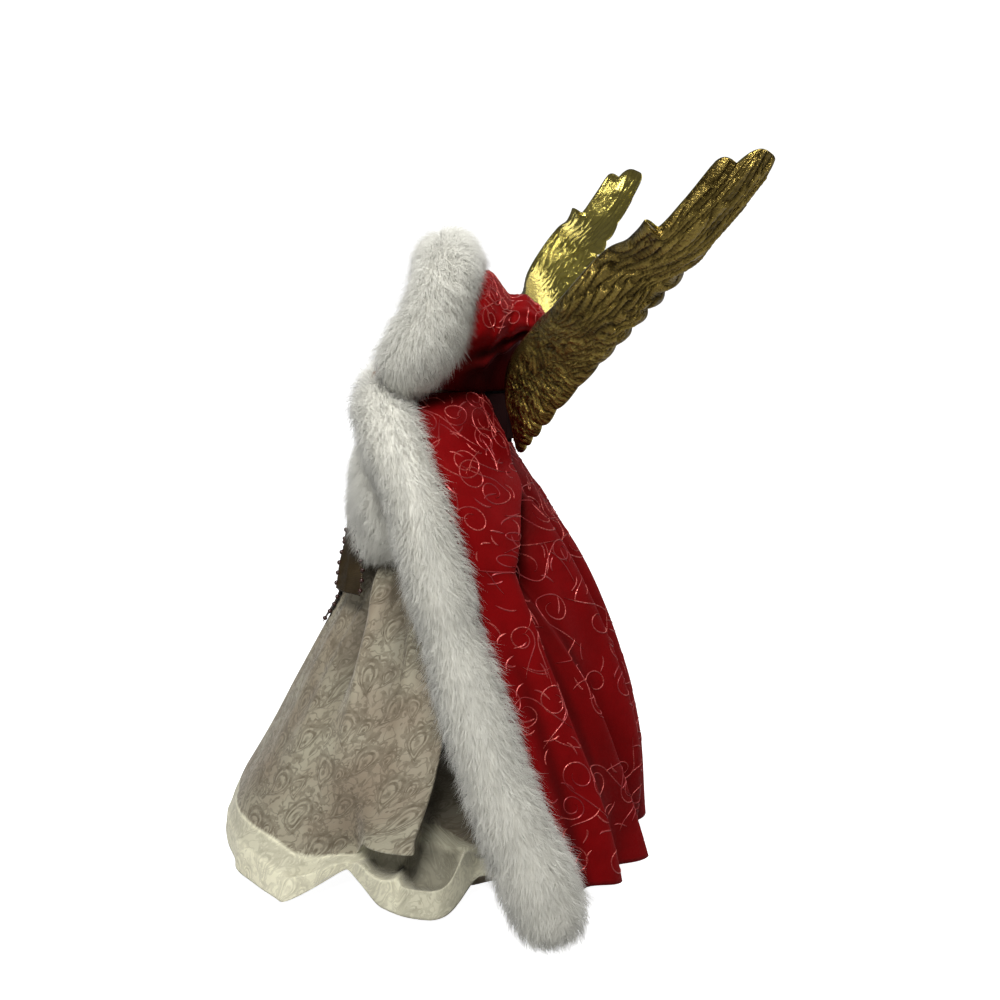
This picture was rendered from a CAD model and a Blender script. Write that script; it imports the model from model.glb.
# Hooded angel figurine: cloth, plush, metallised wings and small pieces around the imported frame.
# Forms are in millimetres about the figure's own upright axis, and meshes in metres in the row frame.

import math

import bpy
import numpy as np
from mathutils import Matrix
from numpy import clip, concatenate, cos, exp, full, linspace, maximum, minimum, pi, sin, stack, vstack


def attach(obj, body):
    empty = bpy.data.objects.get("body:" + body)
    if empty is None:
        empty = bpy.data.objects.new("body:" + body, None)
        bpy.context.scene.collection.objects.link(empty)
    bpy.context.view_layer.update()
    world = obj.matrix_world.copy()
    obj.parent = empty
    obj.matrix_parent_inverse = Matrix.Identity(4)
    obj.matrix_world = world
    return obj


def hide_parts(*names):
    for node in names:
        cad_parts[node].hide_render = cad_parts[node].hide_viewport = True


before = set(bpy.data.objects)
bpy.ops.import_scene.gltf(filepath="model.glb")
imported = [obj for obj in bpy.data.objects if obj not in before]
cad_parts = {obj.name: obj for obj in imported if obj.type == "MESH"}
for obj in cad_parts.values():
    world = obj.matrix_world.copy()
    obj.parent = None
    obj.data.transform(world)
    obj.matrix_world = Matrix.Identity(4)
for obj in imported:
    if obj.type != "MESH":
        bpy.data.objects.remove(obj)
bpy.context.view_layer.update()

MM = 0.001
TURN = 2 * pi
SIDES = ((1, "left"), (-1, "right"))
AXIS_Y = 1.1946
CLOTH = 0.9

# Studio
CAMERA_AT = (514.0, 15.8, 294.0)
CAMERA_TILT = math.radians(14.41)
CAMERA_YAW = math.radians(1.068)
LENS = 43.02
SENSOR = 36.0
FLOOR_HALF = 4
FLOOR_GLOW = 0.97
SKY_LIGHT = 0.22
SKY_SEEN = 1.1
LAMP_AIM = (0, 0, 0.15)
# Name, place and size in metres, power, and whether it lights surfaces or only glints on them
LAMPS = (
    ("key", (0.62, -0.1, 1.0), 0.4, 14.0, True),
    ("side", (0.75, -0.8, 0.5), 0.5, 1.5, True),
    ("back", (-0.5, 0.8, 0.9), 0.6, 5.0, True),
    ("glint_front", (0.8, -0.5, 0.75), 0.12, 3.0, False),
    ("glint_side", (0.95, 0.35, 0.5), 0.12, 3.0, False),
    ("glint_back", (0.55, 0.8, 0.8), 0.12, 3.0, False),
)

# Gown
SKIRT_GRID = (420, 150)
WAIST_Z = 152.0
WAIST_RADII = (19.5, 17.0)
SIDE_REACH = 0.76
FRONT_REACH = 1.02
CREASE_V = 0.82
BODY_SHARE = 0.88
KNIFE_AT = -19.0
KNIFE_LAP = 9.0
PANEL_SLIDE = 9.3
SLIDE_FROM_Z = 22.0
SLIDE_HEIGHT = 49.0
LIP_PLACE = 0.55
POCKET_DEPTH = 9.0
HEM_WIRE_PLACE = 0.985
HEM_WIRE_RADIUS = 0.45
HEM_WIRE_STEPS = 400
HEM_WIRE_INSET = (0.985, 0.985, 1)
HEM_WIRE_LIFT = (0, 0, 0.3)
LIP_RISE = 11.5
BRIM_SAG = 11.0
PINCH_AT = -37.0
PINCH_DEPTH = 12.0
# Heights of the crest, the first valley and the second valley that run down from the waist
WAIST_FOLDS = (3.6, -8.0, -4.0)
CONE_BASE = 50.0
CONE_TOP = 17.5
CONE_HEIGHT = 146.0
CONE_ROOM = 2.5
# Plans round half the gown, from the front at -90 degrees to the back at 90
SUNK_PLAN = ((-90, 0), (-36, 3), (-19, 1), (-8, 32), (15, 33), (36, 2), (64, 24), (90, 0))
TUCK_PLAN = ((-90, -2), (-70, -3), (-40, -8), (90, -8))
LIFT_PLAN = ((-90, 6), (-78, 11), (-62, 9), (-46, 3), (-37, 2), (-28, 12), (-6, 14), (18, 3), (90, 3))
POCKET_PLAN = ((-90, 0), (-38, 0), (-29, 1), (-18, 1), (-9, 0), (90, 0))
HOLLOW_PLAN = ((-90, 0), (-36, 0), (-28, 1), (5, 1), (14, 0), (90, 0))
HEM_RADIUS = (
    (-90, 103.5), (-69, 100), (-47, 94), (-37, 69), (-4, 79), (15, 62), (38, 80), (64, 66), (90, 79),
)
HEM_HEIGHT = (
    (-90, 6), (-69, 3.5), (-47, 2.5), (-37, 12), (-20, 2.5), (0, 2.5), (16, 11), (38, 4), (64, 10), (90, 4),
)
BODICE_GRID = (120, 40)
BODICE_ROOM = 1.55
BODICE_CLOTH = (110, 52)
SLEEVE_GRID = (48, 90)
SLEEVE_RADIUS = 6
SLEEVE_WIDTH = 40
ARM = ((20, 1, 190), (36, 7, 167), (33, -14, 166), (22, -27, 168))
PAISLEY_WIDTH = 17.0
PAISLEY_HEIGHT = 23.0
WARP_PITCH = 0.55
WEFT_PITCH = 0.45

# Cape and trim
CAPE_GRID = (330, 130)
CAPE_FOLDS = 18
CAPE_FOLD_HEIGHT = 1.2
# Long pleats of half the cape: place across at the top and at the hem, start, height
CAPE_PLEATS = (
    (0.06, 0.08, 0.6, 3.0),
    (0.135, 0.195, 0.54, 5.5),
    (0.18, 0.325, 0.54, 7.0),
    (0.35, 0.42, 0.38, 6.5),
    (0.47, 0.5, 0.5, 4.5),
)
PANEL_RISE = 6.0
RECESS_DEPTH = 15.0
GULLY_DEPTH = 7.0
HOLLOW_DEPTH = 6.0
CAPE_DROOP = 6.5
NECKLINE_DIP = 4.0
FUR_TOP_RADIUS = 9.0
FUR_HEM_RADIUS = 12.0
FUR_END_Z = 5.5
STROKE_STEP = 0.004
LONGEST_STEP = 4.0
STEM_WIDTH = 0.52
BRANCH_WIDTH = 0.46
LEAF_WIDTH = 0.66
LEAF_LENGTH = 5.5
CURL_SIZES = (5.5, 9.0)
CURL_TURNS = (1.0, 1.45)

# Hood
HOOD_GRID = (220, 110)
HOOD_CENTRE_Z = 240.0
HOOD_HALF_WIDTH = 30.0
HOOD_RISE = 25.0
HOOD_PEAK_Y = 46.0
HOOD_LEAN_CROWN = 7.0
HOOD_LEAN_CHIN = 18.0
HOOD_SQUARENESS = 0.65
HOOD_RIM_END = math.radians(-62)
HOOD_NAPE_END = math.radians(-89)
HOOD_FUR_END = math.radians(-50)
HOOD_FUR_RADIUS = 10.0
NAPE_Z = 211.8
HOOD_SCROLL_SPAN = (0.22, 0.78)
# From the rim at 0 to the tip at 1: share of the width, and heights of the top and of the underside
HOOD_WIDTH_PLAN = ((0, 1), (0.3, 0.95), (0.47, 0.82), (0.62, 0.55), (0.8, 0.38), (0.92, 0.28), (1, 0.08))
HOOD_TOP_PLAN = ((0, 262.5), (0.28, 262), (0.56, 251.5), (0.72, 251.5), (0.86, 248), (1, 242.5))
HOOD_BOTTOM_PLAN = ((0, 210), (0.3, 212), (0.47, 216), (0.62, 225), (0.8, 232.5), (1, 238.5))

# Plush: strands in each of two parts of a pile, their length, and how flat they lie from 0 to 1
STRAND_WIDTH = 0.145
ROOT_DEPTH = 0.6
PILE_FLOOR = 0.4
HOOD_PILE = (19500, 8.5, 0.64)
CAPE_PILE = (19800, 8.5, 0.66)
MUFF_PILE = (12000, 8.0, 0.64)

# Muff, ribbon, head
MUFF_CENTRE = np.array([0.0, -29.0, 167.0])
MUFF_HALF_LENGTH = 36.0
MUFF_RADII = (10.2, 21.0)
MUFF_SQUARENESS = 0.72
RIBBON_GRID = (24, 80)
RIBBON_WIDTH = 16.0
RIBBON_THICKNESS = 0.35
RIB_PITCH = 0.8
BEAD_RADIUS = 1.05
BEAD_PITCH = 4.0
KNOT_RADII = (5.0, 2.2, 4.0)
KNOT_SUNK = 5.2
HEAD_CENTRE = np.array([0.0, -3.0, 229.5])
HEAD_RADII = (14.5, 17.0, 20.5)
HEAD_TILT = 0.14
# Height of the foot and of the top, and radius
NECK = (206.4, 223, 6.6)
PEG = (194.4, 208, 4.6)
NECK_WAIST = 0.8
# Angles on the head, sideways from the middle of the face and up from its equator
FACE_FRONT = -pi / 2
EYE_SPAN = (0.17, 0.5)
EYE_LEVEL = 0.05
BROW_SPAN = (0.12, 0.58)
BROW_LEVEL = 0.24
IRIS_AT = (0.335, 0.065)
IRIS_HALF = (0.062, 0.066)
CROWN_LOCKS = 27
BROW_LOCKS = 9
RINGLETS = 5
# Direction from the middle of the head, width as an angle, height
FACE_BUMPS = (
    ((0, -1, -0.26), 0.15, 2.3),
    ((0, -1, 0.0), 0.13, 0.9),
    ((0.34, -1, 0.06), 0.2, -1.6),
    ((-0.34, -1, 0.06), 0.2, -1.6),
    ((0, -1, -0.62), 0.15, 1.1),
    ((0, -0.8, -1.05), 0.25, 1.6),
)

# Wings
WING_GRID = (330, 84)
WING_FEATHERS = 13
WING_CAMBER = 3.0
WING_EDGE = 0.7
WING_ROOT_BODY = 1.5
WING_CHORD = 40.0
SPUR_PLACE = 0.848
SPUR_START = 0.72
SPUR_REACH = 7.0
# Height, start and width across the tip of its two lobes
TIP_LOBES = ((6.5, 0, 0.56), (15.0, 0.26, 0.74))
# Spacing and length of the strokes at the root, the tufts beyond them and the flutes towards the tip
STROKES = (3.6, 11.0)
TUFTS = (3.2, 9.0)
FLUTES = (2.9, 12.0)
HINGE_AT = (8.5, 35.0, 205.0)
KNUCKLE_HALF = 6.8
KNUCKLE_RADIUS = 3.4
KNUCKLE_BORE = 1.55
KNUCKLE_CHAMFER = (0.2, 0.3)
# Side and depth where the web leaves the barrel and where it ends in the wing, and its half sizes
WEB_FROM = (11.2, 34.6)
WEB_TO = (20.5, 33.0)
WEB_HALF = (1.5, 6.3)


# Small helpers

def lerp(a, b, t):
    return a + (b - a) * t


def smoothstep(x, low, high):
    t = clip((np.asarray(x, float) - low) / (high - low), 0, 1)
    return t * t * (3 - 2 * t)


def between(x, start, risen, falling, end):
    """Rises from 0 to 1 and falls back to 0."""
    return smoothstep(x, start, risen) * (1 - smoothstep(x, falling, end))


def bell(x, centre, width):
    return exp(-((x - centre) / width) ** 2)


def squarish(wave, power):
    """A sine or cosine made fuller, which turns an ellipse into a rounded rectangle."""
    return np.sign(wave) * np.abs(wave) ** power


def plan(x, knots):
    """Eases from knot to knot of (place, value), flat at each knot."""
    value = full(np.shape(x), float(knots[0][1]))
    for (start, low), (end, high) in zip(knots, knots[1:]):
        value = value + (high - low) * smoothstep(x, start, end)
    return value


def unit(vectors):
    return vectors / maximum(np.linalg.norm(vectors, axis=-1, keepdims=True), 1e-9)


def columns(*parts):
    return stack(np.broadcast_arrays(*[np.asarray(p, float) for p in parts]), axis=-1)


def in_row(points):
    """Millimetres about the figure's axis, as metres in the row frame."""
    return (points + [0, AXIS_Y, 0]) * MM


def step_lengths(path):
    return np.linalg.norm(np.diff(path, axis=0), axis=1)


def waves(points, wavelength, seed, count=6):
    """A smooth seeded field in about -1 to 1, made of a few sine waves."""
    rng = np.random.default_rng(seed)
    total = np.zeros(points.shape[:-1])
    for _ in range(count):
        direction = unit(rng.normal(size=points.shape[-1]))
        pitch = TURN / (wavelength * rng.uniform(0.7, 1.5))
        total += sin(points @ direction * pitch + rng.uniform(0, 6.28))
    return total / count ** 0.5


class Spline:
    """A centripetal Catmull-Rom curve through points, evenly by segment or by length."""

    def __init__(self, *points):
        self.points = np.array(points, float)
        self.fine = linspace(0, 1, 401)
        self.travel = concatenate([[0], np.cumsum(step_lengths(self.at(self.fine)))])
        self.length = self.travel[-1]

    def at(self, t):
        pts = self.points
        padded = vstack([2 * pts[0] - pts[1], pts, 2 * pts[-1] - pts[-2]])
        place = clip(np.asarray(t, float), 0, 1) * (len(pts) - 1)
        index = minimum(place.astype(int), len(pts) - 2)
        w = (place - index)[..., None]
        p0, p1, p2, p3 = (padded[index + k] for k in range(4))
        d0, d1, d2 = (
            maximum(np.linalg.norm(b - a, axis=-1, keepdims=True), 1e-6) ** 0.5
            for a, b in ((p0, p1), (p1, p2), (p2, p3))
        )
        m1 = ((p1 - p0) / d0 - (p2 - p0) / (d0 + d1) + (p2 - p1) / d1) * d1
        m2 = ((p2 - p1) / d1 - (p3 - p1) / (d1 + d2) + (p3 - p2) / d2) * d1
        c2 = -3 * p1 + 3 * p2 - 2 * m1 - m2
        c3 = 2 * p1 - 2 * p2 + m1 + m2
        return p1 + m1 * w + c2 * w ** 2 + c3 * w ** 3

    def by_length(self, t):
        want = clip(np.asarray(t, float), 0, 1) * self.length
        return self.at(np.interp(want, self.travel, self.fine))

    def ahead(self, t, step):
        """The way the curve runs, at places by length."""
        return unit(self.by_length(minimum(t + step, 1)) - self.by_length(maximum(t - step, 0)))


# Meshes

def grid_places(cols, rows):
    return (g.ravel() for g in np.meshgrid(linspace(0, 1, cols + 1), linspace(0, 1, rows + 1)))


def sheet_faces(cols, rows):
    """Faces of a closed sheet: a grid of points, a second grid behind it, and the rim between them."""
    count = (cols + 1) * (rows + 1)
    i, j = np.meshgrid(np.arange(cols), np.arange(rows))
    low = (j * (cols + 1) + i).ravel()
    high = low + cols + 1
    layer = stack([low, low + 1, high + 1, high], axis=1)
    rim = concatenate([
        np.arange(cols),
        np.arange(rows) * (cols + 1) + cols,
        rows * (cols + 1) + np.arange(cols, 0, -1),
        np.arange(rows, 0, -1) * (cols + 1),
    ])
    after = np.roll(rim, -1)
    return [layer[:, ::-1], layer + count, stack([rim, after, after + count, rim + count], axis=1)]


def triangles(faces):
    return concatenate([f[:, [0, k, k + 1]] for f in faces for k in range(1, f.shape[1] - 1)])


def outward(points, faces):
    """Faces of a closed form, turned over where they look into it."""
    a, b, c = (points[corner] for corner in triangles(faces).T)
    inside_out = np.einsum("ij,ij->i", a, np.cross(b, c)).sum() < 0
    return [f[:, ::-1] for f in faces] if inside_out else faces


def make(name, points, faces, material, slot, body="figure", closed=True, smooth=True, **fields):
    """A mesh object from points in millimetres, riding on a body, with fields kept on its points."""
    if closed:
        faces = outward(points, faces)
    mesh = bpy.data.meshes.new(name)
    mesh.vertices.add(len(points))
    mesh.vertices.foreach_set("co", in_row(points).astype(np.float32).ravel())
    corners = concatenate([f.ravel() for f in faces])
    sizes = concatenate([full(len(f), f.shape[1]) for f in faces])
    mesh.loops.add(len(corners))
    mesh.loops.foreach_set("vertex_index", corners.astype(np.int32))
    mesh.polygons.add(len(sizes))
    mesh.polygons.foreach_set("loop_start", (np.cumsum(sizes) - sizes).astype(np.int32))
    mesh.polygons.foreach_set("use_smooth", full(len(sizes), smooth))
    for key, values in fields.items():
        flat = values.ndim == 1
        layer = mesh.attributes.new(key, "FLOAT" if flat else "FLOAT_VECTOR", "POINT")
        layer.data.foreach_set("value" if flat else "vector", values.astype(np.float32).ravel())
    mesh.update(calc_edges=True)
    mesh.validate()
    mesh.materials.append(material)
    piece = bpy.data.objects.new(name, mesh)
    bpy.context.scene.collection.objects.link(piece)
    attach(piece, body)
    return piece


def surface_normal(surface, u, v, step=0.002):
    across = surface(u + step, v) - surface(u - step, v)
    down = surface(u, minimum(v + step, 1)) - surface(u, maximum(v - step, 0))
    return unit(np.cross(across, down))


def shell(grid, surface, thickness):
    """Points, faces and grid places of a closed sheet: the surface, and a copy at the thickness from it."""
    u, v = grid_places(*grid)
    outer = surface(u, v)
    inner = outer + surface_normal(surface, u, v) * thickness
    return vstack([outer, inner]), sheet_faces(*grid), np.tile(u, 2), np.tile(v, 2)


def cloth_places(surface, grid):
    """Millimetres across and down a cloth at each point of its shell, measured along the surface."""
    cols, rows = grid
    net = surface(*grid_places(cols, rows)).reshape(rows + 1, cols + 1, 3)
    across = np.cumsum(np.linalg.norm(np.diff(net, axis=1, prepend=net[:, :1]), axis=2), axis=1)
    down = np.cumsum(np.linalg.norm(np.diff(net, axis=0, prepend=net[:1]), axis=2), axis=0)
    across = across - across[:, cols // 2, None]
    return np.tile(columns(across.ravel(), down.ravel(), 0), (2, 1))


def ring_band(count, sides, steps):
    """Faces from ring to ring, and back to the first ring where steps equals the count."""
    i = np.arange(sides)
    after = (i + 1) % sides
    bands = []
    for k in range(steps):
        here = k * sides
        there = (k + 1) % count * sides
        bands.append(stack([here + i, here + after, there + after, there + i], axis=1))
    return concatenate(bands)


def close_rings(rings):
    """Points and faces of a closed loft through rings of equal count."""
    count, sides = rings.shape[:2]
    points = vstack([rings.reshape(-1, 3), rings[0].mean(0), rings[-1].mean(0)])
    i = np.arange(sides)
    after = (i + 1) % sides
    last = (count - 1) * sides
    low = stack([after, i, full(sides, count * sides)], axis=1)
    high = stack([last + i, last + after, full(sides, count * sides + 1)], axis=1)
    return points, [ring_band(count, sides, count - 1), low, high]


def tube(path, radius, sides):
    """Points and faces of a closed round tube along a path, with one radius or a radius at each point."""
    tangent = unit(np.gradient(path, axis=0))
    first = np.zeros_like(path)
    seed = np.array([0.0, 0.0, 1.0] if abs(tangent[0, 2]) < 0.8 else [0.0, 1.0, 0.0])
    first[0] = unit(seed - tangent[0] * (seed @ tangent[0]))
    for k in range(1, len(path)):
        first[k] = unit(first[k - 1] - tangent[k] * (first[k - 1] @ tangent[k]))
    second = np.cross(tangent, first)
    angle = linspace(0, TURN, sides, endpoint=False)[None, :, None]
    ring = cos(angle) * first[:, None] + sin(angle) * second[:, None]
    return close_rings(path[:, None] + ring * np.broadcast_to(radius, len(path))[:, None, None])


def merge(parts):
    """One set of points and faces from several (points, faces) pairs."""
    points, faces, start = [], {3: [], 4: []}, 0
    for these, groups in parts:
        for group in groups:
            faces[group.shape[1]].append(group + start)
        points.append(these)
        start += len(these)
    return vstack(points), [concatenate(f) for f in faces.values() if f]


# Materials

class Wire:
    """An output of a node. Signs between wires and numbers add Math nodes."""

    def __init__(self, finish, socket):
        self.finish = finish
        self.socket = socket

    def __add__(self, other):
        return self.finish.math("ADD", self, other)

    def __sub__(self, other):
        return self.finish.math("SUBTRACT", self, other)

    def __rsub__(self, other):
        return self.finish.math("SUBTRACT", other, self)

    def __mul__(self, other):
        return self.finish.math("MULTIPLY", self, other)

    def __truediv__(self, other):
        return self.finish.math("DIVIDE", self, other)

    def __abs__(self):
        return self.finish.math("ABSOLUTE", self)


class Finish:
    """A node material with a Principled shader and short ways to add and join nodes."""

    def __init__(self, name, **sockets):
        self.material = bpy.data.materials.new(name)
        self.material.use_nodes = True
        self.tree = self.material.node_tree
        self.finish(**sockets)

    def finish(self, **sockets):
        self.put(self.tree.nodes["Principled BSDF"], {k.replace("_", " "): v for k, v in sockets.items()})
        return self.material

    def put(self, node, inputs):
        for key, value in inputs.items():
            socket = node.inputs[key]
            if isinstance(value, Wire):
                self.tree.links.new(value.socket, socket)
            else:
                socket.default_value = (*value, 1.0) if socket.type == "RGBA" else value

    def node(self, kind, inputs, output=0, **settings):
        node = self.tree.nodes.new("ShaderNode" + kind)
        for key, value in settings.items():
            setattr(node, key, value)
        self.put(node, inputs)
        return Wire(self, node.outputs[output])

    def field(self, name, output="Vector"):
        return self.node("Attribute", {}, output, attribute_name=name)

    def level(self, name):
        return self.field(name, "Fac")

    def place(self):
        return self.node("TexCoord", {}, "Object")

    def split(self, vector):
        return [self.node("SeparateXYZ", {0: vector}, output) for output in (0, 1)]

    def scaled(self, vector, factors):
        return self.node("VectorMath", {0: vector, 1: factors}, operation="MULTIPLY")

    def math(self, operation, *values):
        return self.node("Math", dict(enumerate(values)), operation=operation)

    def noise(self, vector, scale, detail=2.0, rough=0.5):
        return self.node("TexNoise", {"Vector": vector, "Scale": scale, "Detail": detail, "Roughness": rough})

    def ramp(self, value, low, high, start=0.0, end=1.0):
        inputs = {"Value": value, "From Min": low, "From Max": high, "To Min": start, "To Max": end}
        return self.node("MapRange", inputs, interpolation_type="SMOOTHSTEP")

    def mix(self, share, first, second):
        return self.node("Mix", {0: share, 6: first, 7: second}, 2, data_type="RGBA")

    def bump(self, height, distance, strength):
        return self.node("Bump", {"Height": height, "Distance": distance, "Strength": strength})


def velvet_finish():
    f = Finish("velvet", Sheen_Weight=0.08, Sheen_Roughness=0.35, Sheen_Tint=(1.0, 0.03, 0.04))
    f.finish(Specular_IOR_Level=0.12, Specular_Tint=(1.0, 0.25, 0.2))
    place = f.place()
    pile_height = f.noise(place, 900.0, 4.0, 0.6)
    nap = f.ramp(f.noise(place, 160.0), 0.35, 0.75, 0.0, 0.35)
    colour = f.mix(f.noise(place, 28.0, 3.0), (0.115, 0.0006, 0.0012), (0.185, 0.001, 0.0024))
    colour = f.mix(nap, colour, (0.09, 0.0005, 0.001))
    colour = f.mix(f.level("deep") * 0.93, colour, (0.012, 0.0002, 0.0005))
    rough = f.ramp(pile_height, 0.3, 0.7, 0.62, 0.82)
    return f.finish(Base_Color=colour, Roughness=rough, Normal=f.bump(pile_height, 0.00012, 0.6))


def glitter_finish():
    f = Finish("glitter_scroll", Metallic=0.4, Specular_IOR_Level=0.5)
    flakes = f.node("TexVoronoi", {"Vector": f.place(), "Scale": 2600.0}, "Color")
    grey = f.node("RGBToBW", {0: flakes})
    colour = f.mix(f.ramp(grey, 0.3, 0.9), (0.22, 0.012, 0.012), (0.55, 0.11, 0.085))
    worn = f.ramp(f.noise(f.place(), 60.0), 0.38, 0.62)
    colour = f.mix(worn, (0.22, 0.01, 0.012), colour)
    rough = f.ramp(grey, 0.0, 1.0, 0.6, 0.32)
    return f.finish(Base_Color=colour, Roughness=rough, Normal=f.bump(grey, 0.0003, 0.7))


def paisley_masks(f, across, down, shift, size):
    """Drops with a bent tip in staggered columns: their outlines, their heart and a toothed fringe."""
    column = (across + shift) / PAISLEY_WIDTH
    odd = f.math("MODULO", f.math("FLOOR", column), 2.0)
    row = (down + shift * 1.6) / PAISLEY_HEIGHT + odd * 0.5
    side = (f.math("FRACT", column) - 0.5) * (PAISLEY_WIDTH / size)
    rise = (f.math("FRACT", row) - 0.45) * (PAISLEY_HEIGHT / size)
    tip = f.math("MAXIMUM", rise, 0.0)
    bent = side * (odd * 2.0 - 1.0) - tip * tip * 0.055
    flat = bent / f.math("MAXIMUM", 1.0 - rise * 0.095, 0.12)
    long = rise * 0.52
    drop = f.math("SQRT", flat * flat + long * long)
    masks = [
        f.ramp(abs(drop - at), half * 0.55, half * 1.3, 1.0, 0.0)
        for at, half in ((3.9, 0.6), (2.4, 0.4), (0.0, 1.0))
    ]
    teeth = f.math("SINE", f.math("ARCTAN2", flat, long) * 13.0)
    return masks + [f.ramp(abs(drop - (teeth * 0.5 + 5.0)), 0.2, 0.5, 0.85, 0.0)]


def brocade_finish():
    f = Finish("brocade", Sheen_Weight=0.2, Sheen_Roughness=0.4, Sheen_Tint=(1.0, 0.96, 0.88))
    f.finish(Specular_IOR_Level=0.3)
    cloth = f.field("cloth")
    across, down = f.split(cloth)
    wobble = (f.noise(cloth, 0.09, 1.0) - 0.5) * 4.0
    masks = []
    for shift, size in ((0.0, 1.0), (8.5, 0.62)):
        masks += paisley_masks(f, across + wobble, down + wobble, shift, size)
    leaves = f.noise(f.scaled(cloth, (1.0, 0.6, 1.0)), 0.34, 1.5, 0.45)
    stems = abs(f.noise(cloth, 0.16, 1.5) - 0.5)
    buds = f.node("TexVoronoi", {"Vector": cloth, "Scale": 0.21, "Randomness": 0.9}, "Distance")
    masks.append(f.ramp(leaves, 0.56, 0.61, 0.0, 0.8))
    masks.append(f.ramp(stems, 0.012, 0.03, 0.7, 0.0))
    masks.append(f.ramp(buds, 0.16, 0.26, 0.85, 0.0))
    pattern = masks[0]
    for mask in masks[1:]:
        pattern = f.math("MAXIMUM", pattern, mask)
    pattern = pattern * (f.ramp(f.noise(cloth, 0.3, 3.0, 0.6), 0.35, 0.7) * 0.5 + 0.5)
    weave = f.math("SINE", across * (TURN / WARP_PITCH)) * f.math("SINE", down * (TURN / WEFT_PITCH))
    facing = f.level("facing")
    tone = f.ramp(f.noise(cloth, 0.03, 3.0), 0.3, 0.7)
    ground = f.mix(tone, (0.235, 0.187, 0.128), (0.335, 0.31, 0.225))
    ground = f.mix(facing * 0.9, ground, (0.78, 0.75, 0.56))
    colour = f.mix(pattern * f.ramp(facing, 0.0, 1.0, 0.9, 0.35), ground, (0.1, 0.078, 0.048))
    colour = f.mix(f.level("deep") * 0.85, colour, (0.045, 0.038, 0.024))
    rough = f.ramp(pattern, 0.0, 1.0, 0.5, 0.78)
    height = pattern * -0.8 + weave * 0.25
    return f.finish(Base_Color=colour, Roughness=rough, Normal=f.bump(height, 0.00022, 0.8))


def fur_finish():
    f = Finish("plush", Roughness=0.62, Specular_IOR_Level=0.25, Sheen_Weight=0.25, Sheen_Roughness=0.5)
    tuft = f.ramp(f.noise(f.place(), 240.0), 0.3, 0.7)
    colour = f.mix(tuft, (0.66, 0.65, 0.575), (0.78, 0.77, 0.69))
    colour = f.mix(f.ramp(f.level("shade"), 0.0, 0.8, 0.55, 0.0), colour, (0.5, 0.475, 0.4))
    return f.finish(Base_Color=colour)


def gold_finish():
    """Dark in the hollows and pale on the heights, with fine lines drawn along the feathers."""
    f = Finish("antique_gold", Metallic=1.0)
    bright = f.level("bright")
    lines = f.noise(f.scaled(f.field("feather"), (1.0, 0.22, 1.0)), 1.6, 3.0, 0.6)
    grain = f.noise(f.place(), 1100.0, 3.0, 0.65)
    cloud = f.ramp(f.noise(f.place(), 70.0, 3.0), 0.2, 0.7, 0.55, 1.1)
    raised = f.ramp(f.level("relief"), 0.0, 0.85) * cloud
    dark = f.mix(raised, (0.018, 0.011, 0.002), (0.27, 0.195, 0.05))
    pale = f.mix(raised, (0.15, 0.117, 0.024), (0.38, 0.32, 0.083))
    return f.finish(
        Base_Color=f.mix(bright, dark, pale),
        Roughness=f.ramp(grain, 0.3, 0.75, 0.12, 0.26),
        Normal=f.bump(lines * 1.3 + grain * 0.3, 0.0009, f.ramp(bright, 0.0, 1.0, 0.6, 0.2)),
    )


def ribbon_finish():
    f = Finish("ribbon", Metallic=0.25, Specular_IOR_Level=0.3)
    _, down = f.split(f.field("cloth"))
    ribs = f.math("SINE", down * (TURN / RIB_PITCH))
    tone = f.noise(f.place(), 120.0, 3.0)
    colour = f.mix(tone, (0.009, 0.005, 0.001), (0.042, 0.025, 0.005))
    rough = f.ramp(tone, 0.2, 0.8, 0.34, 0.5)
    return f.finish(Base_Color=colour, Roughness=rough, Normal=f.bump(ribs, 0.0001, 0.5))


def skin_finish():
    f = Finish("doll_skin", Roughness=0.5, Subsurface_Weight=0.08, Subsurface_Radius=(0.004, 0.002, 0.001))
    tone = f.noise(f.place(), 90.0, 3.0)
    colour = f.mix(tone, (0.62, 0.36, 0.25), (0.72, 0.45, 0.33))
    colour = f.mix(f.level("blush"), colour, (0.66, 0.2, 0.15))
    colour = f.mix(f.level("lips"), colour, (0.45, 0.06, 0.05))
    return f.finish(Base_Color=colour, Normal=f.bump(tone, 0.0001, 0.3))


def hair_finish():
    f = Finish("hair", Roughness=0.42, Specular_IOR_Level=0.5)
    strand = f.noise(f.place(), 420.0, 4.0, 0.7)
    colour = f.mix(strand, (0.1, 0.035, 0.01), (0.3, 0.12, 0.035))
    return f.finish(Base_Color=colour, Normal=f.bump(strand, 0.0003, 0.5))


def plain_finish(name, low, high, scale, rough, metallic=0.0, bump=0.0001, **sockets):
    f = Finish(name, Metallic=metallic, **sockets)
    tone = f.noise(f.place(), scale, 4.0, 0.6)
    return f.finish(
        Base_Color=f.mix(tone, low, high),
        Roughness=f.ramp(tone, 0.2, 0.8, rough - 0.08, rough + 0.08),
        Normal=f.bump(tone, bump, 0.5),
    )


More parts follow.
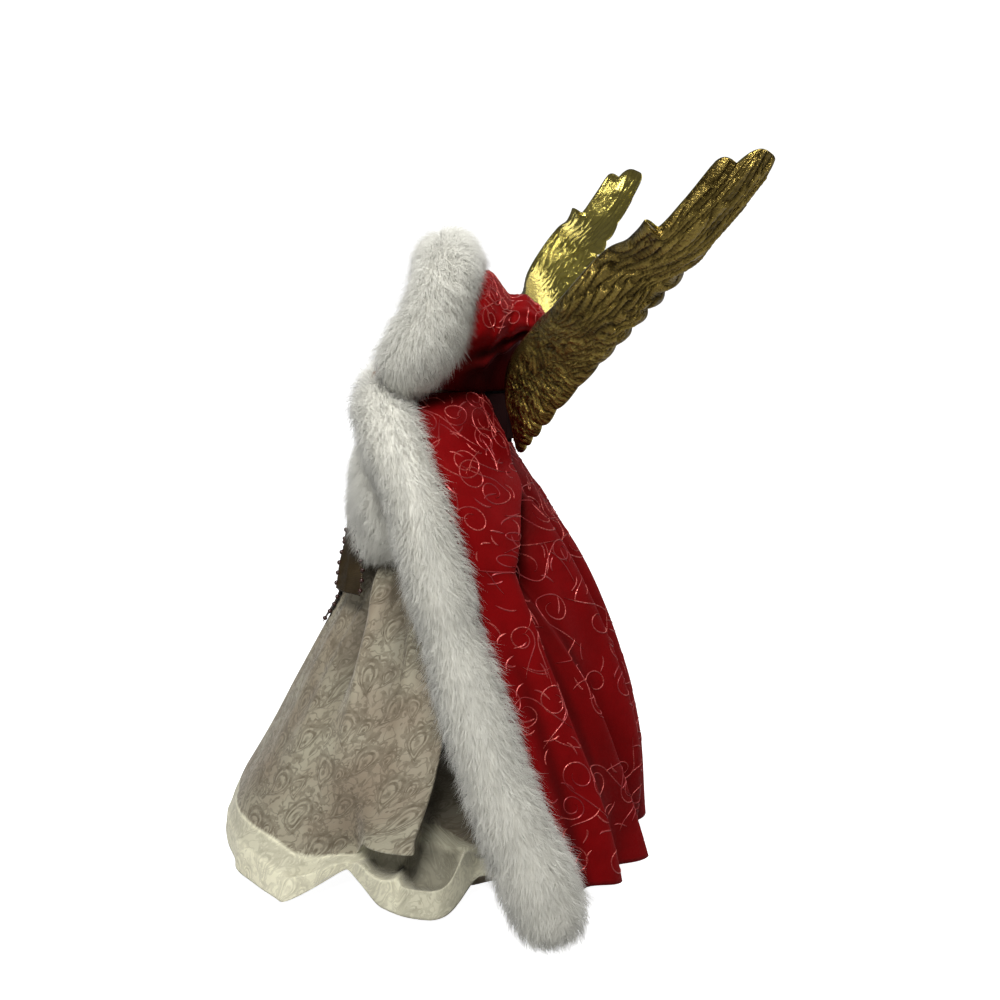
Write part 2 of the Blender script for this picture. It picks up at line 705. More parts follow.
VELVET = velvet_finish()
GLITTER = glitter_finish()
BROCADE = brocade_finish()
FUR = fur_finish()
GOLD = gold_finish()
RIBBON = ribbon_finish()
BEAD = plain_finish("bead", (0.015, 0.005, 0.004), (0.05, 0.016, 0.01), 400.0, 0.22, 0.3)
CARD = plain_finish("card", (0.45, 0.36, 0.26), (0.6, 0.5, 0.37), 180.0, 0.8, bump=0.0003)
BODY = plain_finish("moulded_body", (0.62, 0.52, 0.42), (0.7, 0.6, 0.5), 120.0, 0.55)
STEEL = plain_finish("steel", (0.38, 0.38, 0.38), (0.56, 0.56, 0.55), 500.0, 0.32, 1.0)
BRACKET = plain_finish(
    "bracket", (0.005, 0.0005, 0.0005), (0.012, 0.001, 0.001), 150.0, 0.75, Specular_IOR_Level=0.1,
)


# Gown

skirt_ridge = Spline((20, 0, WAIST_Z), (34, 0, 137), (46.5, 0, 115), (73, 0, 66), (94, 0, 25), (104, 0, 3.5))
torso_form = Spline(
    (17, 16.4, 146.35), (16.4, 13.8, 158), (20.4, 14.4, 178), (21.6, 12.6, 190), (16, 10.6, 197), (8, 8, 202),
)


def gown_places(u, v):
    """Angle, degrees from the figure's side, place down the body, the ridge there, and the panel's slide."""
    angle = TURN * u + pi / 2
    degrees = np.degrees(np.arcsin(clip(sin(angle), -1, 1)))
    body = clip(v / CREASE_V, 0, 1) * BODY_SHARE
    ridge = skirt_ridge.at(body)
    rise = clip((ridge[..., 2] - SLIDE_FROM_Z) / SLIDE_HEIGHT, 0, 1.2)
    return angle, degrees, body, ridge, PANEL_SLIDE * rise * smoothstep(degrees, -45, -20)


def waist_folds(degrees, body):
    """A valley that runs down from the waist, a softer one beside it, and the crest between, from 0 to 1."""
    lasting = between(body, 0.04, 0.16, 0.4, 0.62)
    off = degrees - lerp(-58, -50, smoothstep(body, 0.15, 0.5))
    valley = bell(off, 0, np.where(off < 0, 13, 4.5))
    second = bell(degrees, lerp(-42, -24, smoothstep(body, 0.1, 0.45)), 6.5)
    return valley * lasting, second * lasting, bell(off, 9, 6) * lasting


def skirt_point(u, v):
    """Body of the gown with a broad side panel and a deep recess, a crease, and the wired brim below it."""
    angle, degrees, body, ridge, slide = gown_places(u, v)
    gathers = sin(34 * angle + 1.2 * sin(3 * angle)) * 0.7 + sin(19 * angle + 2.0) * 1.1
    folds = gathers * smoothstep(body, 0.0, 0.15) * (1 - 0.8 * smoothstep(body, 0.3, 0.8))
    valley, second, crest = waist_folds(degrees, body)
    front_fold = sum(height * fold for height, fold in zip(WAIST_FOLDS, (crest, valley, second)))
    drag = 0.7 * sin(13 * angle + 5.1 * body + 0.7) * smoothstep(body, 0.2, 0.7)
    tuck = plan(degrees, TUCK_PLAN) * smoothstep(body, 0.55, BODY_SHARE)
    sink = plan(degrees - slide, SUNK_PLAN) * body ** 1.3
    pinch = -PINCH_DEPTH * bell(degrees, PINCH_AT, 8) * smoothstep(body, 0.6, BODY_SHARE)
    forward = maximum(0, -sin(angle)) ** 1.5
    reach = lerp(1, lerp(SIDE_REACH, FRONT_REACH, forward), smoothstep(body, 0.2, 0.9))
    cone = lerp(CONE_BASE, CONE_TOP, ridge[..., 2] / CONE_HEIGHT) + CONE_ROOM
    radius = (ridge[..., 0] + folds + drag + tuck) * reach - sink + front_fold + pinch
    radius = maximum(radius, minimum(cone, ridge[..., 0]))
    spread = smoothstep(body, 0, 0.2)
    a, b = (lerp(waist, radius, spread) for waist in WAIST_RADII)
    height = ridge[..., 2] + plan(degrees, LIFT_PLAN) * smoothstep(body, 0.6, BODY_SHARE)

    ruffle = sin(21 * angle + 0.5) + 0.6 * sin(33 * angle + 1.9)
    hem_radius = plan(degrees, HEM_RADIUS) + 0.5 * ruffle
    hem_height = plan(degrees, HEM_HEIGHT) + 0.3 * (ruffle + 1.6)
    cup = smoothstep(hem_radius - a, 10, 22)
    lip_radius = lerp(lerp(a, hem_radius, 0.55) + 1.5, hem_radius - 3.5, cup)
    lip_height = lerp(lerp(height, hem_height, 0.45), hem_height + LIP_RISE, cup) + 6.0 * bell(degrees, 9, 5)
    brim = clip((v - CREASE_V) / (1 - CREASE_V), 0, 1)
    low = clip(brim / LIP_PLACE, 0, 1)
    high = clip((brim - LIP_PLACE) / (1 - LIP_PLACE), 0, 1)
    pocket = plan(degrees, POCKET_PLAN)
    back = POCKET_DEPTH * pocket * smoothstep(low, 0, 0.14)
    out = smoothstep(low, 0.6, 1)

    def brim_radius(start):
        lip = lerp(lerp(start, lip_radius, low), lerp(start - back, lip_radius, out), pocket)
        return lerp(lip, hem_radius, high)

    sag = BRIM_SAG * cup * sin(pi * low)
    wall = lerp(lerp(height, lip_height - 3, smoothstep(low, 0.08, 0.62)), lip_height, out)
    z = lerp(lerp(lerp(height, lip_height, low) - sag, wall, pocket), hem_height, high)
    lap = KNIFE_LAP * bell(degrees - slide, KNIFE_AT, 5) * smoothstep(body, 0.25, 0.55)
    turned = angle + np.sign(cos(angle)) * np.radians(lap) * (1 - smoothstep(brim, 0, 0.35))
    return columns(brim_radius(a) * cos(turned), brim_radius(b) * sin(turned), maximum(z, 1.0))


def gown_shade(u, v):
    """How far a place on the gown lies back in a recess, under the crease or in a fold, from 0 to 1."""
    _, degrees, body, _, slide = gown_places(u, v)
    off = degrees - slide
    below = v - CREASE_V
    across = smoothstep(off, -17, -11) * (1 - 0.7 * smoothstep(off, -2, 24)) * (1 - smoothstep(off, 24, 40))
    recess = across * smoothstep(body, 0.2, 0.45) * (1 - 0.6 * smoothstep(v, 0.74, 0.9))
    under = between(below, 0.004, 0.02, 0.07, 0.105)
    hollow = under * plan(degrees, HOLLOW_PLAN)
    waist = 1 - smoothstep(body, 0.1, 0.42)
    front = (1 - smoothstep(degrees, -74, -52)) * (1 - smoothstep(below, -0.02, 0))
    valley, second, _ = waist_folds(degrees, body)
    return maximum.reduce([
        recess, 0.5 * waist, 0.24 * front, 0.35 * under, 0.92 * hollow, 0.95 * valley, 0.55 * second,
    ])


def gown():
    points, faces, u, v = shell(SKIRT_GRID, skirt_point, CLOTH)
    fields = {
        "cloth": cloth_places(skirt_point, SKIRT_GRID),
        "facing": smoothstep(v, CREASE_V - 0.004, CREASE_V + 0.004),
        "deep": gown_shade(u, v),
    }
    skirt = make("gown_skirt", points, faces, BROCADE, "brocade", **fields)
    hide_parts("skirt")
    turn = linspace(0, 1, HEM_WIRE_STEPS, endpoint=False)
    hem = skirt_point(turn, full(HEM_WIRE_STEPS, HEM_WIRE_PLACE))
    inside = hem * HEM_WIRE_INSET + HEM_WIRE_LIFT
    ring = vstack([inside, inside[:1]])
    wire = make("hem_wire_bent", *tube(ring, HEM_WIRE_RADIUS, 8), STEEL, "steel")
    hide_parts("hem_wire")


def bodice():
    def surface(u, v):
        angle = TURN * u
        form = torso_form.at(lerp(0.02, 0.9, 1 - v))
        room = BODICE_ROOM + 0.25 * sin(9 * angle + 14 * v) + 0.2 * sin(5 * angle - 21 * v)
        return columns((form[..., 0] + room) * cos(angle), (form[..., 1] + room) * sin(angle), form[..., 2])
    points, faces, u, v = shell(BODICE_GRID, surface, CLOTH)
    cloth = columns(u * BODICE_CLOTH[0], v * BODICE_CLOTH[1], 0)
    piece = make("gown_bodice", points, faces, BROCADE, "brocade", cloth=cloth)
    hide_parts("bodice")


def sleeves():
    for side, name in SIDES:
        path = Spline(*[(side * x, y, z) for x, y, z in ARM])

        def surface(u, v):
            ahead = path.ahead(v, 0.01)
            first = unit(np.cross(ahead, [0, 0, 1]))
            second = np.cross(ahead, first)
            angle = TURN * u
            creases = 0.35 * sin(TURN * 6 * v + 2 * sin(angle)) + 0.2 * sin(17 * v + 3 * angle)
            out = first * cos(angle)[:, None] + second * sin(angle)[:, None]
            return path.by_length(v) + out * (SLEEVE_RADIUS + creases)[:, None]
        points, faces, u, v = shell(SLEEVE_GRID, surface, CLOTH)
        cloth = columns(u * SLEEVE_WIDTH, v * path.length, 0)
        piece = make("sleeve_cloth_" + name, points, faces, BROCADE, "brocade", cloth=cloth)
        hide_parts("sleeve_" + name)


# Cape

# Half width, depth and height from the neck to the hem, and the front edge as degrees and depth
cape_form = Spline(
    (17.6, 17, 213), (36, 21.5, 206), (49, 28, 190), (56.5, 41, 169),
    (62, 57, 139), (73, 74, 98), (85.5, 85.5, 59), (101, 90, 15),
)
cape_edge = Spline(
    (-67, 26, 0), (-39, 32, 0), (-20, 38, 0), (-9, 38, 0),
    (1, 57, 0), (10, 74, 0), (17, 85.5, 0), (27, 90, 0),
)


def edge_angle(t):
    return np.radians(cape_edge.at(t)[..., 0])


def fur_radius(t):
    return lerp(FUR_TOP_RADIUS, FUR_HEM_RADIUS, clip(t * 1.4, 0, 1))


def cape_point(angle, t, fold):
    form = cape_form.at(t)
    front = sin(angle) < 0
    depth = np.where(front, cape_edge.at(t)[..., 1], form[..., 1])
    dip = np.where(front, NECKLINE_DIP * sin(angle) ** 2 * (1 - clip(t, 0, 1)) ** 2, 0)
    stretch = 1 + fold / form[..., 0]
    return columns(form[..., 0] * stretch * cos(angle), depth * stretch * sin(angle), form[..., 2] - dip)


def arm_fold(v):
    """Where across the cape the panel over the arm turns in."""
    return 0.46 - 0.325 * clip((v - 0.25) / 0.29, 0, 1) ** 0.9 + 0.06 * smoothstep(v, 0.54, 1)


def pleat_place(v, top, hem, begin):
    return lerp(top, hem, (v - begin) / (1 - begin))


def pleat(near, v, top, hem, begin, height):
    """A long fold that fans from one place across the cape to another, gentle before and sharp behind."""
    off = near - pleat_place(v, top, hem, begin)
    return height * bell(off, 0, np.where(off < 0, 0.055, 0.017)) * smoothstep(v, begin - 0.06, begin + 0.1)


def cape_hollows(near, v):
    """Millimetres inward: the recess behind the arm, a gully at the back and a hollow between long pleats."""
    recess = RECESS_DEPTH * bell(near, arm_fold(v) + 0.058, 0.04) * smoothstep(v, 0.28, 0.4)
    recess = recess * (1 - 0.8 * smoothstep(v, 0.46, 0.75))
    gully = GULLY_DEPTH * bell(near, lerp(0.4, 0.43, v), 0.028) * smoothstep(v, 0.34, 0.46)
    hollow_at = pleat_place(v, 0.22, 0.38, 0.57)
    return recess + gully + HOLLOW_DEPTH * bell(near, hollow_at, 0.03) * smoothstep(v, 0.62, 0.85)


def cape_fold(u, v, angle):
    """Outward folds in millimetres: a panel over the arm, hollows behind it, and long pleats."""
    near = minimum(u, 1 - u)
    panel = PANEL_RISE * smoothstep(arm_fold(v) - near, -0.02, 0.02) * smoothstep(near, 0.02, 0.12)
    long = sum(pleat(near, v, *fold) for fold in CAPE_PLEATS)
    ripple = 0.4 * sin(31 * u + 9 * v) + 0.3 * sin(47 * u - 15 * v + 1)
    small = CAPE_FOLD_HEIGHT * cos(CAPE_FOLDS * (angle - pi / 2)) * smoothstep(v, 0.5, 0.95)
    folds = panel * between(v, 0.18, 0.3, 0.5, 0.66) + long - cape_hollows(near, v)
    return folds + (ripple + small) * smoothstep(near, 0, 0.1)


def cape_shade(u, v):
    """How dark the cape's hollows and the backs of its pleats lie, from 0 to 1."""
    near = minimum(u, 1 - u)
    shades = [clip(cape_hollows(near, v) / 13.0, 0, 1), 0.42 * (1 - smoothstep(v, 0.08, 0.4))]
    shades.append(0.85 * bell(near, arm_fold(v) + 0.08, 0.05) * between(v, 0.24, 0.34, 0.46, 0.75))
    for top, hem, begin, _ in CAPE_PLEATS:
        behind = pleat_place(v, top, hem, begin) + 0.032
        shades.append(0.6 * bell(near, behind, 0.016) * smoothstep(v, begin, begin + 0.15))
    return maximum.reduce(shades)


def cape_surface(u, v):
    start = edge_angle(v) + 0.2 * fur_radius(v) / cape_form.at(v)[..., 0]
    angle = lerp(start, pi - start, u)
    near = minimum(u, 1 - u)
    lap = 0.17 * bell(near, arm_fold(v) - 0.01, 0.035) * between(v, 0.3, 0.38, 0.44, 0.75)
    turned = angle + np.where(u < 0.5, 1, -1) * lap
    droop = CAPE_DROOP * smoothstep(near, 0.1, 0.3) * smoothstep(v, 0.6, 1)
    return cape_point(turned, v, cape_fold(u, v, angle)) - columns(0, 0, droop)


def rotated(points, turn):
    c, s = math.cos(turn), math.sin(turn)
    return points @ np.array([[c, s], [-s, c]])


def vine(rng, reach):
    """Strokes of one vine as (turn, points, width): a stem with its curl, a branch and three leaves."""
    hand = rng.choice([-1, 1])
    size = rng.uniform(*CURL_SIZES) * reach
    sweep = TURN * rng.uniform(*CURL_TURNS)
    t = linspace(0, 1, 56)
    radius = size * (1 - 0.62 * t)
    curl = columns(radius * cos(sweep * t), hand * radius * sin(sweep * t))
    down = linspace(1, 0, 26)[:-1]
    stem = curl[0] + columns(0.25 * size * down ** 2, -hand * 2.4 * size * down)
    branch = curl[0] + columns(t * 1.9 * size, -hand * (1.6 * size - 1.1 * size * t ** 2))
    strokes = [(0, vstack([stem, curl]), STEM_WIDTH), (0, branch[::2], BRANCH_WIDTH)]
    s = linspace(0, 1, 10)
    leaf = columns(s * LEAF_LENGTH * reach, 0.8 * s ** 2 * LEAF_LENGTH)
    for k in range(3):
        heading = rng.uniform(-0.8, 0.8) + pi * k / 3
        strokes.append((k, rotated(leaf, heading) + [1.8 * size, 0.8 * size], LEAF_WIDTH))
    return strokes


def laid_stroke(surface, u0, v0, points, width, lift):
    """A raised line along a stroke laid on a cloth, or nothing where the cloth ends or turns too sharply."""
    corner = surface(np.array([u0, u0 + STROKE_STEP, u0]), np.array([v0, v0, v0 + STROKE_STEP]))
    du, dv = np.linalg.norm(corner[1:] - corner[0], axis=1) / STROKE_STEP
    u = u0 + points[:, 0] / du
    v = v0 + points[:, 1] / dv
    keep = (u > 0.01) & (u < 0.99) & (v > 0.015) & (v < 0.985)
    if keep.sum() < 6:
        return []
    u, v = u[keep], v[keep]
    path = surface(u, v)
    if step_lengths(path).max() > LONGEST_STEP:
        return []
    normal = -surface_normal(surface, u, v)
    side = unit(np.cross(normal, unit(np.gradient(path, axis=0))))
    share = linspace(0, 1, len(path))
    half = (width / 2 * minimum(1, 6 * minimum(share + 0.02, 1.02 - share)))[:, None]
    rings = stack([path + side * half, path + normal * lift, path - side * half], axis=1)
    rings[:, [0, 2]] += normal[:, None] * 0.02
    return [close_rings(rings)]


def scrolls(name, surface, layout, count, seed, lift, reach=1.0):
    """Glitter lines on a cloth: vines that end in curls, set in rows with fewer where the cloth is narrow."""
    rng = np.random.default_rng(seed)
    most, down = layout
    widths = [
        step_lengths(surface(linspace(0, 1, 60), full(60, (j + 0.5) / down))).sum()
        for j in range(down)
    ]
    strips = []
    for j in range(down):
        across = max(2, round(most * widths[j] / max(widths)))
        for i in np.repeat(np.arange(across), count):
            u0 = (i + rng.uniform(0.1, 0.9)) / across
            v0 = (j + rng.uniform(0.1, 0.9)) / down
            turn = rng.uniform(0, TURN)
            for extra, points, width in vine(rng, reach):
                strips += laid_stroke(surface, u0, v0, rotated(points, turn + extra), width, lift)
    return make(name, *merge(strips), GLITTER, "velvet", smooth=False)


def cape():
    points, faces, u, v = shell(CAPE_GRID, cape_surface, CLOTH)
    piece = make("velvet_cape", points, faces, VELVET, "velvet", deep=cape_shade(u, v))
    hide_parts("cape")
    lines = scrolls("cape_scrolls", cape_surface, (15, 10), count=1, seed=5, lift=0.28)


# Hood

def hood_arch(angle):
    rise = sin(angle)
    lean = rise * np.where(rise > 0, HOOD_LEAN_CROWN, HOOD_LEAN_CHIN)
    width = HOOD_HALF_WIDTH * squarish(cos(angle), HOOD_SQUARENESS)
    return columns(width, lean + HEAD_CENTRE[1], HOOD_CENTRE_Z + HOOD_RISE * rise)


def hood_angle(u, back):
    """Angle across the hood, which closes further round the nape than at the rim."""
    end = lerp(HOOD_RIM_END, HOOD_NAPE_END, smoothstep(back, 0.25, 0.6))
    return lerp(end, pi - end, u)


def nape(angle, back):
    """Where the hood hangs down into the neck of the cape, from 0 to 1."""
    return smoothstep(-sin(angle), 0.8, 0.98) * between(back, 0.1, 0.3, 0.68, 0.8)


def low_folds(angle, below, width):
    return bell(angle, -below, width) + bell(angle, pi + below, width)


def hood_surface(u, v):
    """From the rim back over the crown to a gathered tip, with a fold under it and an open nape."""
    back = clip(v, 0, 1)
    angle = hood_angle(u, back)
    narrow = plan(back, HOOD_WIDTH_PLAN)
    gather = smoothstep(back, 0.35, 0.62) * (1 - 0.4 * smoothstep(back, 0.8, 1))
    crease = 1.7 * cos(4 * angle + 2.2 * sin(4 * back + 1.5 * angle)) * gather * maximum(narrow, 0.35)
    crease = crease + 0.3 * sin(13 * angle + 9 * back) * smoothstep(back, 0.15, 0.4)
    under = -6.5 * low_folds(angle, 0.42, 0.2) * between(back, 0.12, 0.4, 0.7, 0.95)
    half = (HOOD_HALF_WIDTH - 1) * narrow + crease + under
    top = plan(back, HOOD_TOP_PLAN) - HOOD_CENTRE_Z
    drop = HOOD_CENTRE_Z - plan(back, HOOD_BOTTOM_PLAN)
    high = np.where(sin(angle) > 0, top, drop) + crease + 0.4 * under
    rise = HOOD_CENTRE_Z + high * sin(angle)
    rise = lerp(rise, minimum(rise, NAPE_Z), nape(angle, back))
    start = hood_arch(angle)[..., 1] + 0.4 * HOOD_FUR_RADIUS
    width = half * squarish(cos(angle), HOOD_SQUARENESS)
    return columns(width, lerp(start, HOOD_PEAK_Y, back ** 0.9), rise)


def hood_shade(u, v):
    """How dark the hood's underside and the folds under its tip lie, from 0 to 1."""
    angle = hood_angle(u, v)
    folds = clip(low_folds(angle, 0.5, 0.16) * smoothstep(v, 0.15, 0.45), 0, 1)
    return maximum(folds, smoothstep(-sin(angle), 0.35, 0.7) * smoothstep(v, 0.15, 0.4))


def hood():
    points, faces, u, v = shell(HOOD_GRID, hood_surface, CLOTH)
    piece = make("velvet_hood", points, faces, VELVET, "velvet", deep=hood_shade(u, v))
    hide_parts("hood")

    def upper_part(u, v):
        return hood_surface(lerp(*HOOD_SCROLL_SPAN, u), v)
    lines = scrolls("hood_scrolls", upper_part, (6, 3), count=2, seed=11, lift=0.3, reach=0.6)


# Plush: a soft skin and a dense pile of tapered strands

def rounded_ends(t, radius, length):
    reach = clip(minimum(t, 1 - t) * length / radius, 0, 1)
    return radius * np.sqrt(0.12 + 0.88 * (1 - (1 - reach) ** 2))


def lean(points, wavelength, seed):
    return stack([waves(points, wavelength, seed + k) for k in range(3)], axis=1)


def pile(name, skin, faces, count, length, lie, comb, seed):
    """Strands rooted evenly over a skin. comb gives the way they lie, and clumps lean together."""
    rng = np.random.default_rng(seed)
    tris = triangles(faces)
    a, b, c = (skin[tris[:, k]] for k in range(3))
    cross = np.cross(b - a, c - a)
    area = np.linalg.norm(cross, axis=1)
    chosen = rng.choice(len(tris), count, p=area / area.sum())
    w = rng.dirichlet((1, 1, 1), count)
    root = a[chosen] * w[:, :1] + b[chosen] * w[:, 1:2] + c[chosen] * w[:, 2:]
    normal = unit(cross[chosen])
    clump = lean(root, 5.5, seed) * 0.1 + lean(root, 16.0, seed + 9) * 0.12
    loose = rng.normal(size=(count, 3)) * 0.16
    flow = comb(root)
    flow = unit(flow - normal * np.sum(flow * normal, axis=1, keepdims=True))
    size = (length * rng.uniform(0.72, 1.15, count) * (1 + 0.12 * waves(root, 9.0, seed + 5)))[:, None]
    low = unit(normal * (1 - 0.55 * lie) + flow * 0.5 * lie + clump * 0.6 + loose)
    high = unit(normal * (1 - lie) + flow * lie * 1.25 + clump * 1.1 + loose * 1.5 + [0, 0, -0.1])
    base = root - normal * ROOT_DEPTH
    middle = base + low * size * 0.5
    tip = middle + high * size * 0.55
    for place in (base, middle, tip):
        place[:, 2] = maximum(place[:, 2], PILE_FLOOR + rng.uniform(0, 0.5, count))
    spin = rng.uniform(0, TURN, count)
    first = unit(np.cross(low, unit(rng.normal(size=(count, 3)))))
    second = np.cross(low, first)
    half = STRAND_WIDTH / 2 * rng.uniform(0.75, 1.25, count)
    rings = []
    for centre, share in ((base, 1.0), (middle, 0.8)):
        for k in range(3):
            turn = spin + TURN * k / 3
            arm = first * cos(turn)[:, None] + second * sin(turn)[:, None]
            rings.append(centre + arm * (half * share)[:, None])
    points = stack(rings + [tip], axis=1).reshape(-1, 3)
    at = np.arange(count)[:, None] * 7
    sides = concatenate([at + [k, (k + 1) % 3, 3 + (k + 1) % 3, 3 + k] for k in range(3)])
    tips = concatenate([at + [3 + k, 3 + (k + 1) % 3, 6] for k in range(3)])
    shade = np.tile([0.0, 0.0, 0.0, 0.6, 0.6, 0.6, 1.0], count)
    piece = make(name, points, [sides, tips, at + [2, 1, 0]], FUR, "fur", closed=False, shade=shade)
    soft = unit(np.repeat(normal, 7, axis=0) * 0.75 + (points - np.repeat(middle, 7, axis=0)) * 0.06)
    piece.data.normals_split_custom_set_from_vertices(soft.astype(np.float32))


def plush(name, node, skin, faces, count, length, lie, comb, seed):
    """A skin that replaces a node, and its pile in two parts of a size that other tools can take."""
    base = make(name + "_skin", skin, faces, FUR, "fur", shade=full(len(skin), 0.35))
    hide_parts(node)
    for k in range(2):
        pile(f"{name}_pile_{k + 1}", skin, faces, count, length, lie, comb, seed + 31 * k)


def one_way(*direction):
    """Combs a whole pile the same way."""
    return lambda root: np.array(direction) + 0 * root


def down_along(path):
    """Combs a pile the way a path runs, and a little downwards."""
    ahead = unit(np.gradient(path, axis=0))

    def comb(root):
        nearest = concatenate([
            np.argmin(np.linalg.norm(part[:, None] - path[None], axis=2), axis=1)
            for part in np.array_split(root, max(1, len(root) // 4000))
        ])
        return ahead[nearest] + [0, 0, -0.35]
    return comb


def trims():
    arch = Spline(*hood_arch(linspace(HOOD_FUR_END, pi - HOOD_FUR_END, 13)))
    t = linspace(0, 1, 90)
    path = arch.by_length(t)
    radius = 1.03 * rounded_ends(t, HOOD_FUR_RADIUS, arch.length)
    skin, faces = tube(path, radius * (1 + 0.08 * waves(path, 22.0, 3)), 40)
    plush("hood_trim", "hood_fur", skin, faces, *HOOD_PILE, one_way(0, 0.25, -1.0), seed=21)
    t = linspace(0, 1, 9)
    line = cape_point(edge_angle(t), t, 0 * t)
    line = vstack([line, line[-1] + [3, 4, FUR_END_Z - line[-1][2]]])
    t = linspace(0, 1, 130)
    foot = smoothstep(t, 0.72, 0.95)
    collar = 1 - smoothstep(t, 0.12, 0.4)
    for side, name in SIDES:
        edge = Spline(*(line * [side, 1, 1]))
        path = edge.by_length(t) + columns(side * foot, 2.5 * foot - 2.0 * collar, 0)
        radius = (0.95 + 0.14 * foot + 0.16 * collar) * rounded_ends(t, fur_radius(t), edge.length)
        skin, faces = tube(path, radius * (1 + 0.05 * waves(path, 25.0, 13)), 40)
        node = "cape_fur_" + name
        plush("cape_trim_" + name, node, skin, faces, *CAPE_PILE, down_along(path), seed=41 + side)


def muff():
    """A squarish roll, swollen unevenly, whose ends bend back to the arms and whose underside sags."""
    end = -cos(linspace(0, pi, 60))[:, None] * 0.995
    thick = (1 - end ** 4) ** 0.4
    angle = linspace(0, TURN, 56, endpoint=False)
    rings = columns(
        MUFF_HALF_LENGTH * end,
        MUFF_RADII[0] * thick * squarish(cos(angle), MUFF_SQUARENESS),
        MUFF_RADII[1] * thick * squarish(sin(angle), MUFF_SQUARENESS),
    ) * 0.95 + MUFF_CENTRE
    skin, faces = close_rings(rings)
    skin = MUFF_CENTRE + (skin - MUFF_CENTRE) * (1 + 0.05 * waves(skin, 20.0, 8))[:, None]
    bend = smoothstep(np.abs(skin[:, 0]), 8, 32)
    low = smoothstep(MUFF_CENTRE[2] - skin[:, 2], 0, 20)
    ahead = smoothstep(MUFF_CENTRE[1] - skin[:, 1], -2, 8)
    backward = 1.5 + bend * (8.0 + 6.0 * low) * (1 - 0.6 * ahead) - 2.0 * low * ahead
    skin = skin + columns(0, backward, -(2.5 + 2.5 * ahead) * low)
    plush("muff", "muff", skin, outward(skin, faces), *MUFF_PILE, one_way(0, -0.2, -1.0), seed=77)


# Ribbon

def ball_grid(sides, rows, cap_angle):
    return np.meshgrid(linspace(0, TURN, sides + 1)[:-1], linspace(cap_angle, pi - cap_angle, rows))


def ribbons():
    knot_y = MUFF_CENTRE[1] - MUFF_RADII[0] - KNOT_RADII[1] + KNOT_SUNK
    knot_z = MUFF_CENTRE[2] - 2
    foot = knot_z - KNOT_RADII[2]
    # Degrees that the tail turns on its way, and its route
    tails = {
        "left": (18, (3.4, knot_y, foot), (10, -39.4, 152), (18, -39.4, 140), (22.5, -41, 127)),
        "right": (
            0, (-3.4, knot_y, foot), (-7, -42, 149), (-8, -42.5, 133), (-9, -47.8, 115), (-10, -54, 104.5),
        ),
    }
    a, b = ball_grid(48, 26, 0.05)
    lump = 1 + 0.07 * sin(7 * a + 2 * cos(b) * 3) + 0.05 * sin(13 * a)
    rings = columns(sin(b) * cos(a) * lump, sin(b) * sin(a) * lump, cos(b)) * KNOT_RADII + [0, knot_y, knot_z]
    points, faces = close_rings(rings)
    cloth = columns(points[:, 0], points[:, 2], 0)
    knot = make("ribbon_knot_cloth", points, faces, RIBBON, "ribbon", cloth=cloth)
    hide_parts("ribbon_knot")
    a, b = ball_grid(12, 9, 0.12)
    ball = columns(sin(b) * cos(a), sin(b) * sin(a), cos(b)) * BEAD_RADIUS
    for name, (turn, *route) in tails.items():
        path = Spline(*route)

        def surface(u, v):
            across = 2 * u - 1
            place = path.by_length(v)
            heading = np.arctan2(place[:, 1], place[:, 0]) + math.radians(turn) * smoothstep(v, 0.3, 0.8)
            out = columns(cos(heading), sin(heading), 0)
            side = columns(-sin(heading), cos(heading), 0)
            half = RIBBON_WIDTH / 2 * lerp(0.35, 1, smoothstep(v, 0, 0.3))
            lift = 1.2 * clip(1 - np.abs(across), 0, 1) ** 0.8 + 0.25 * sin(9 * v + 4 * across)
            return place + side * (across * half)[:, None] + out * lift[:, None]
        points, faces, u, v = shell(RIBBON_GRID, surface, RIBBON_THICKNESS)
        cloth = columns(u * RIBBON_WIDTH, v * path.length, 0)
        tail = make("ribbon_" + name, points, faces, RIBBON, "ribbon", cloth=cloth)
        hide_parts("ribbon_tail_" + name)
        count = int(path.length / BEAD_PITCH)
        place = (np.arange(count) + 0.5) / count
        centres = vstack([surface(full(count, edge), place) for edge in (0.0, 1.0)])
        beads = merge([close_rings(ball + centre) for centre in centres])
        row = make("ribbon_beads_" + name, *beads, BEAD, "ribbon")


# Wings

lead_edge = Spline(
    (14.5, 33.5, 196), (20, 32.5, 223), (60, 38, 246), (103, 42.5, 257.5), (121, 57.4, 276.2),
    (130, 64.5, 279), (138, 71.1, 283.3), (144.5, 78, 291.9), (149.5, 84.5, 301.1),
)
trail_edge = Spline(
    (19, 33.5, 187), (40, 39.2, 199.2), (63, 47.5, 214.7), (80, 55.4, 227.7), (106, 72, 252.8),
    (125, 87.1, 274.4), (139, 98.5, 292.8),
)


def feathers(across, along, spacing, length):
    """Rounded strands with fine barbs, in lengths that rise to a round tip, from about 0 to 1."""
    strand = across / spacing
    index = np.floor(strand)
    off = np.abs(2 * (strand - index) - 1)
    rounded = np.sqrt(clip(1 - off ** 2, 0, 1))
    rising = (along / length + 0.618 * index - 0.3 * off ** 2) % 1
    barbs = sin(TURN * (along / 1.7 + 0.8 * off))
    return rounded * (0.35 + 0.65 * rising ** 0.8) * (0.85 + 0.15 * sin(7.7 * index + 1)) + 0.08 * barbs


